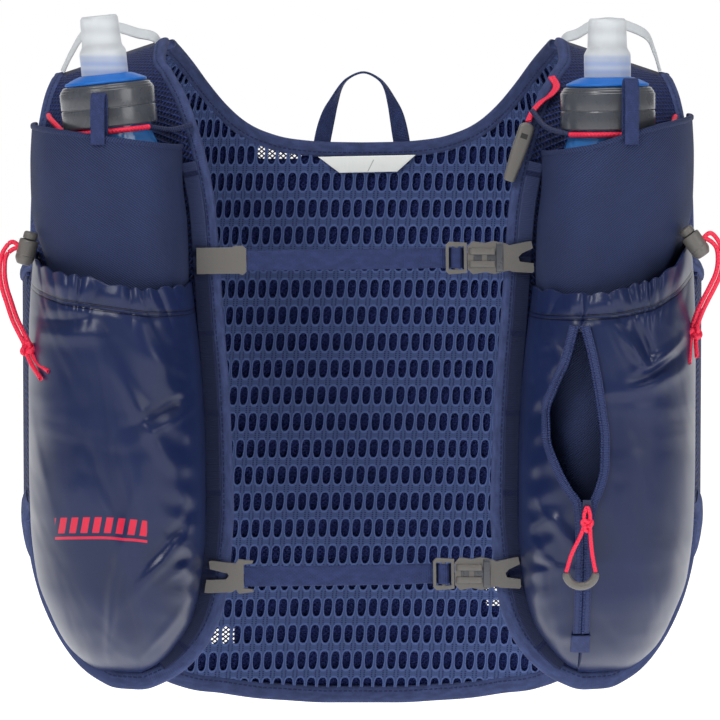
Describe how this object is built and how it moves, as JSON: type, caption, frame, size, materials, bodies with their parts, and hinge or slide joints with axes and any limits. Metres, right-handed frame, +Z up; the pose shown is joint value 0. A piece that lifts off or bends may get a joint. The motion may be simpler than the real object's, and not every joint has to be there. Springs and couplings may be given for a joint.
{
  "type": "running hydration vest",
  "caption": "Worn-shape running hydration vest with perforated back, bound front panels, soft flasks in chest pockets, zip pocket, sternum straps and pull cords.",
  "frame": {"origin": "middle of the shoulder line that carries the vest, at the level of the shoulder line near the neck", "axes": "+Z up, the front of the vest faces -Y, +X to the right as seen from the front"},
  "size_m": [0.3434, 0.258, 0.3534],
  "materials": {
    "spacer_mesh": "soft 3-D spacer mesh",
    "strap_net": "open diamond net",
    "binding": "ribbed fold-over binding",
    "stretch_mesh": "fine stretch mesh",
    "ripstop_nylon": "thin nylon with a sheen",
    "webbing": "woven webbing",
    "grey_plastic": "moulded, satin",
    "red_cord": "braided cord",
    "navy_cord": "twisted elastic cord",
    "smoke_plastic": "ribbed translucent plastic",
    "blue_plastic": "satin moulded disc",
    "clear_silicone": "milky silicone",
    "blue_film": "soft clear film",
    "white_print": "bare printed label ground",
    "pale_band": "flat pale elastic band"
  },
  "bodies": {
    "vest": {"left_front_panel": "spacer_mesh", "left_side_panel": "strap_net", "right_front_panel": "spacer_mesh", "right_side_panel": "strap_net", "back_panel": "spacer_mesh", "left_edge_binding": "binding", "left_armhole_binding": "binding", "right_edge_binding": "binding", "right_armhole_binding": "binding", "neck_binding": "binding", "hem_binding": "binding", "left_flask_pocket": "stretch_mesh", "left_lower_pocket": "ripstop_nylon", "right_flask_pocket": "stretch_mesh", "right_lower_pocket": "ripstop_nylon", "left_edge_tape": "webbing", "right_edge_tape": "webbing", "left_flask": "blue_film", "right_flask": "blue_film", "left_flask_loop": "webbing", "right_flask_loop": "webbing", "left_neck_cord_red": "red_cord", "left_neck_cord_navy": "navy_cord", "right_neck_cord_red": "red_cord", "right_neck_cord_navy": "navy_cord", "left_lock_barrel": "grey_plastic", "left_pull_cord": "red_cord", "left_cord_knot": "red_cord", "right_lock_barrel": "grey_plastic", "right_pull_cord": "red_cord", "right_cord_knot": "red_cord", "upper_sternum_strap": "webbing", "upper_ladder_frame": "grey_plastic", "upper_buckle": "grey_plastic", "upper_strap_clip": "grey_plastic", "lower_sternum_strap": "webbing", "lower_ladder_frame": "grey_plastic", "lower_buckle": "grey_plastic", "lower_strap_clip": "grey_plastic", "whistle_ribbon": "red_cord", "whistle": "grey_plastic", "hang_loop": "webbing", "neck_label": "white_print", "left_shoulder_band": "pale_band", "right_shoulder_band": "pale_band", "zip_tape_left": "webbing", "zip_tape_right": "webbing", "zip_slider": "grey_plastic", "zip_grip": "grey_plastic", "zip_cord": "red_cord", "zip_end_patch": "ripstop_nylon"},
    "left_cap": {"left_flask_cap": "smoke_plastic", "left_flask_collar": "blue_plastic", "left_bite_valve": "clear_silicone"},
    "left_plunger": {"left_lock_plunger": "grey_plastic"},
    "right_cap": {"right_flask_cap": "smoke_plastic", "right_flask_collar": "blue_plastic", "right_bite_valve": "clear_silicone"},
    "right_plunger": {"right_lock_plunger": "grey_plastic"}
  },
  "joints": [
    {"name": "left_cap_turn", "type": "hinge", "parent": "vest", "child": "left_cap", "pos_m": [-0.11814, -0.10304, -0.04315], "axis": [-0.1048, 0, 0.9945], "range_deg": [0, 360]},
    {"name": "left_plunger_press", "type": "slide", "parent": "vest", "child": "left_plunger", "axis": [-0.2571, 0, -0.9664], "range_m": [0, 0.0026], "stiffness_N_per_m": 400},
    {"name": "right_cap_turn", "type": "hinge", "parent": "vest", "child": "right_cap", "pos_m": [0.1155, -0.10304, -0.04468], "axis": [-0.012, 0, 0.9999], "range_deg": [0, 360]},
    {"name": "right_plunger_press", "type": "slide", "parent": "vest", "child": "right_plunger", "axis": [0.581, 0, -0.8139], "range_m": [0, 0.0026], "stiffness_N_per_m": 400}
  ]
}
